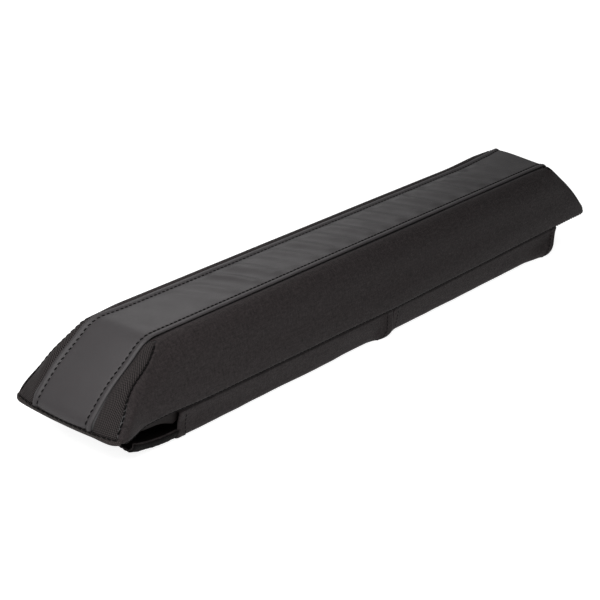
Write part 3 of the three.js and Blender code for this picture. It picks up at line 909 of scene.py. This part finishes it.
# The panel below the foam. Its lining hangs loose at the open end
def basePanel():
    low, high = cadBox("base_panel")
    radius = cover["planCorner"]
    y = low[1] + (high[1] - low[1]) * np.linspace(0, 1, 100)[:, None] ** 1.6
    edge = np.clip(np.abs(y) - (high[1] - radius), 0, radius)
    reach = high[0] - radius + np.sqrt(radius**2 - edge**2)
    x = np.linspace(-1, 1, 300)[None, :] * reach
    uneven = np.abs(0.25 * softField(x, y, (40, 22), 71))
    opened = np.clip((x + 374) / 70, 0, 1) * (1 - 0.9 * blend(x, -304, -286))
    fold = blend(y - low[1], 1.4, 4.4) * (1 - blend(y - low[1], 5, 26))
    hang = flaps["lining"] * opened * fold * (1 + 0.1 * np.sin(x / 7.0))
    grid = settled(together(x, y, low[2] + uneven - hang))
    cut = grid[..., :2]
    piece = clothSheet("basePanel", grid, cover["cloth"], cut, padCore, coatedLining, "lining", "base_panel")


print("pad: bindings")


# Flaps that close round the crossbar
flaps = {
    "seamY": 57.0, "seamLean": 2.5, "bend": 8.0, "cloth": 1.2, "hem": 9.5, "hemExtra": 0.6,
    "hemStitch": 1.6,  # stitch line, in from the inner edge of the hem
    "hemDip": 0.4,
    "pinch": 4.2,  # the wall tucks in below the cover's edge
    "tip": 14.0, "layer": 1.5, "nearReach": 8.0,
    "unevenness": (0.5, 0.25),  # in large and in small waves
    "lowSpan": (4.0, 24.0),  # heights between which a flap's lower edge moves in or out
    "lowFade": (40.0, 62.0),
    "leftIn": 0.8,  # lower edge of the near flaps at the left end, inside its straight line
    "rightIn": -1.6, "inFrom": -281.0, "inRun": 552.0, "endStart": 3.5, "splitShift": 5.5,
    "endSlant": 13.0,  # the right end of the near flaps leans in towards the bar
    "endSlantSpan": (4.0, 30.0), "endBack": 1.5, "farLift": 4.5,
    "farSlant": 22.0,  # the long flap is pulled closed at a slant
    "farReach": 323.0,
    "cornerPull": 11.0,  # its open corner is stretched outwards
    "pullSpan": (280.0, 323.0),
    "freeSpan": (287.0, 301.0),  # past the near flap it hangs open
    "curlFrom": 308.0, "leftEndSpan": (314.0, 346.0), "tapeInset": -0.1, "tapeSpan": (0.6, 46.0),
    "lining": 15.0,  # how far the lining of the base hangs at the open end
}
tunnelCore = (0.0, 0.0, cover["foot"] * 0.55)
bendY = flaps["seamY"] - flaps["seamLean"] - flaps["bend"]


def arcPoints(centre, radius, start, stop, count=14):
    angle = np.radians(np.linspace(start, stop, count))
    return [(centre[0] + radius * cos(t), centre[1] + radius * sin(t)) for t in angle]


def hemLift(distance, hem):
    # The doubled edge stands proud, with a dip at its stitch line
    proud = flaps["hemExtra"] * (1 - blend(distance, hem - 0.4, hem + 0.6))
    return proud - flaps["hemDip"] * bump(distance - (hem - flaps["hemStitch"]), 0.8)


def nearFlap(side, seed, leftFlare, rightFlare):
    # Flares say how far an end of the flap stands out, and over what length
    atLeft = side == "left"
    name, node = f"near{side.capitalize()}Flap", f"near_{side}_flap"
    start, stop = (corner[0] for corner in cadBox(node))
    arc = arcPoints((-bendY, flaps["bend"]), flaps["bend"], 180, 270)
    path = evenly([(-flaps["seamY"], cover["foot"] - 0.1), *arc, (flaps["nearReach"], 0.0)], 1.5)
    down, height = lengthAlong(path)[:, None], path[:, 1:]
    tip = flaps["tip"]
    cutIn = tip - np.sqrt(np.clip(tip**2 - np.clip(tip - height, 0, tip) ** 2, 0, None))
    share = np.linspace(0, 1, int((stop - start) / 2.2))[None, :]
    slanted = flaps["endSlant"] * blend(height, *flaps["endSlantSpan"]) - flaps["endBack"]
    first, last = (flaps["endStart"], flaps["splitShift"]) if atLeft else (flaps["splitShift"], slanted)
    x = start + first + 0.25 * cutIn + share * (stop + last - start - first - 1.1 * cutIn)
    grid = together(x, path[:, :1], height).copy()
    normal, _ = gridNormals(grid, tunnelCore)
    fromLeft, fromRight = x - x[:, :1], x[:, -1:] - x
    fromEnd = np.minimum(fromLeft, fromRight)
    large, small = flaps["unevenness"]
    lift = hemLift(fromEnd, flaps["hem"]) + 0.5 * hemLift(down[-1] - down + 0 * x, 8.0)
    lift += large * softField(x, down, (58, 22), seed) * blend(down, 6, 16)
    lift += small * softField(x, down, (17, 12), seed + 1) * blend(down, 6, 16)
    lift -= flaps["pinch"] * (1 - blend(down, 0.4, 3.4))
    low = blend(down, *flaps["lowSpan"]) * (1 - blend(down, *flaps["lowFade"]))
    upper = (1 - blend(down, 8, 30)) * np.clip(drawnIn(x), -1.2, 3.4)
    inward = flaps["leftIn"] + (flaps["rightIn"] - flaps["leftIn"]) * (x - flaps["inFrom"]) / flaps["inRun"]
    flare = leftFlare[0] * (1 - blend(fromLeft, 0, leftFlare[1]))
    flare = flare + rightFlare[0] * (1 - blend(fromRight, 0, rightFlare[1]))
    skin = grid + normal * lift[..., None]
    skin[..., 1] += upper + (inward - flare) * low
    skin[..., 2] = np.maximum(skin[..., 2], 0.06)
    hemmed = flaps["cloth"] + flaps["hemExtra"] * (fromEnd < flaps["hem"])
    cut = together(x, down)
    piece = clothSheet(name, skin, hemmed * 0.9, cut, tunnelCore, wovenFlap, "woven_flap", node)
    skinNormal, _ = gridNormals(skin, tunnelCore)
    for label, away in (("Left", fromLeft), ("Right", fromRight)):
        column = np.argmin(np.abs(away - (flaps["hem"] - flaps["hemStitch"])), axis=1)
        rows = np.arange(3, len(path) - 2)
        line, up = skin[rows, column[rows]], skinNormal[rows, column[rows]]
        line[:, 2] = np.maximum(line[:, 2], 0.5)
        stitchRun(f"{name}{label}HemStitch", "hem", line, up, "woven_flap")


nearFlap("left", 81, (-0.6, 30.0), (4.4, 26.0))
nearFlap("right", 83, (-0.4, 25.0), (4.2, 45.0))


def farFlapPath(seamX):
    # Outer face of the long flap from its free edge, under the bar and up to the far seam
    nearX = seamX - flaps["farSlant"]
    lift, ramp = flaps["farLift"], flaps["nearReach"] + 1.0
    free = float(blend(-nearX, *flaps["freeSpan"]))
    under = 0.1 + 2.2 * float(blend(-nearX, *flaps["leftEndSpan"]))
    past = max(0.0, -nearX - flaps["curlFrom"])
    low, rim = 1.2 + 0.07 * past + 0.0045 * past**2, 12.0 + 0.0055 * past**2
    radius = max(3.5, (rim - low) / 1.14)
    tucked = arcPoints((-bendY, flaps["bend"]), flaps["bend"] - lift, 190, 270, 12)
    loose = arcPoints((-51.6 + radius, low + radius), radius, 172, 270, 12)
    start = (1 - free) * np.array(tucked) + free * np.array(loose)
    middle = lift * (1 - free) + (low + 0.4) * free
    rest = [(-20, middle), (ramp - 4, middle * 0.98)]
    rest += [(ramp + 5, 0.55 * middle + 0.45 * under), (ramp + 13, under)]
    far = arcPoints((bendY, flaps["bend"]), flaps["bend"], 270, 360)
    far = np.array(far + [(flaps["seamY"], cover["foot"] - 0.1)])
    far[:, 1] += under * (1 - blend(far[:, 1], 0, 20))
    return evenly(np.concatenate([start, rest, far]), count=110)


def farFlap():
    half = flaps["farReach"]
    seamX = np.linspace(-half, half, 300)
    grid = np.array([np.column_stack([np.full(110, x), farFlapPath(x)]) for x in seamX]).transpose(1, 0, 2)
    share = (flaps["seamY"] - grid[..., 1]) / (2 * flaps["seamY"])
    pulled = flaps["cornerPull"] * blend(-grid[..., 0], *flaps["pullSpan"])
    grid[..., 0] -= flaps["farSlant"] * share + pulled * (share + 0.4 * np.sin(np.pi * np.clip(share, 0, 1)))
    normal, _ = gridNormals(grid, tunnelCore)
    down = lengthAlong(grid[:, 150])[:, None]
    cutX = np.broadcast_to(seamX[None, :], grid.shape[:2])
    lift = hemLift(half - np.abs(cutX), flaps["hem"]) * 0.7
    wall = blend(grid[..., 1], 50, 53)
    lift += wall * (flaps["unevenness"][0] * softField(cutX, down, (64, 22), 91) + 0.3)
    lift -= wall * flaps["pinch"] * blend(grid[..., 2], cover["foot"] - 3.4, cover["foot"] - 0.4)
    skin = grid + normal * lift[..., None]
    skin[..., 2] = np.maximum(skin[..., 2], 0.06)
    cut = together(cutX, down)
    piece = clothSheet("farFlap", skin, flaps["cloth"], cut, tunnelCore, wovenFlap, "woven_flap", "far_flap")
    piece.data.materials.append(coatedLining)  # the inner face is the coated one
    inner = (skin.shape[0] - 1) * (skin.shape[1] - 1)
    faceSlots = np.zeros(len(piece.data.polygons), int)
    faceSlots[inner:2 * inner] = 1
    piece.data.polygons.foreach_set("material_index", faceSlots.tolist())
    return skin, down, seamX


farSkin, farDown, farSeamX = farFlap()


def farTape():
    columns = np.nonzero(np.abs(farSeamX) < flaps["farReach"] - flaps["tapeInset"])[0]
    low, high = flaps["tapeSpan"]
    rows = np.nonzero((farDown[:, 0] > low) & (farDown[:, 0] < high))[0]
    base = farSkin[np.ix_(rows, columns)]
    normal, _ = gridNormals(base, tunnelCore)
    pile = 1.15 + 0.3 * luck.uniform(-1, 1, base.shape[:2])
    skin = base + normal * pile[..., None]
    skin[..., 2] = np.maximum(skin[..., 2], 0.05)
    cut = together(farSeamX[columns][None, :], farDown[rows])
    clothSheet("farTape", skin, 1.0, cut, tunnelCore, loopPile, "hook_loop_tape", "far_tape")


farTape()


def nearTape(side):
    node = f"near_{side}_tape"
    low, high = cadBox(node)
    radius = flaps["bend"] - flaps["layer"]
    path = evenly(arcPoints((-bendY, flaps["bend"]), radius, 195, 270) + [(high[1], flaps["layer"])], 1.6)
    x = np.linspace(low[0], high[0], 120)[None, :]
    grid = together(x, path[:, :1], path[:, 1:]).copy()
    grid[..., 1] += flaps["leftIn"] * blend(x, -310, -290) * (1 - blend(x, -40, 300))
    cut = together(x, lengthAlong(path)[:, None])
    name = f"near{side.capitalize()}Tape"
    clothSheet(name, grid, flaps["cloth"], cut, tunnelCore, loopPile, "hook_loop_tape", node)


nearTape("left")
nearTape("right")
basePanel()
print("pad: flaps and tapes")


# Floor and light
studio = {
    "floorSize": 20.0, "floorColor": (0.4, 0.4, 0.4),
    "floorGlow": 0.9,  # a lit table, as for a cut-out photograph
    "world": 0.3, "key": 9.3, "back": 4.8,
}


def addLight(name, place, target, size, power):
    data = bpy.data.lights.new(name, "AREA")
    data.shape = "RECTANGLE"
    data.size, data.size_y = size
    data.energy = power
    lamp = placed(name, data)
    lamp.location = place
    lamp.rotation_euler = (Vector(target) - Vector(place)).to_track_quat("-Z", "Y").to_euler()


def setStage():
    half = studio["floorSize"] / 2
    mesh = bpy.data.meshes.new("studioFloor")
    edges = [(-half, -half, 0), (half, -half, 0), (half, half, 0), (-half, half, 0)]
    mesh.from_pydata(edges, [], [(0, 1, 2, 3)])
    floor = placed("studioFloor", mesh)
    material, tree, shader, _ = newMaterial("studioFloor")
    feed(tree, shader, {"Base Color": (*studio["floorColor"], 1), "Roughness": 0.9})
    feed(tree, shader, {"Emission Color": (1, 1, 1, 1), "Emission Strength": studio["floorGlow"]})
    floor.data.materials.append(material)
    world = bpy.data.worlds.new("studioWorld")
    world.use_nodes = True
    sky = world.node_tree.nodes["Background"]
    feed(world.node_tree, sky, {"Color": (1, 1, 1, 1), "Strength": studio["world"]})
    scene.world = world
    scene.view_settings.view_transform = "Standard"
    addLight("keyLight", (-0.6, -0.1, 0.64), (-0.34, 0, 0.05), (0.8, 0.7), studio["key"])
    addLight("backLight", (1.1, 1.1, 1.08), (0, 0, 0.09), (0.7, 0.4), studio["back"])


setStage()
print("pad: stage set")
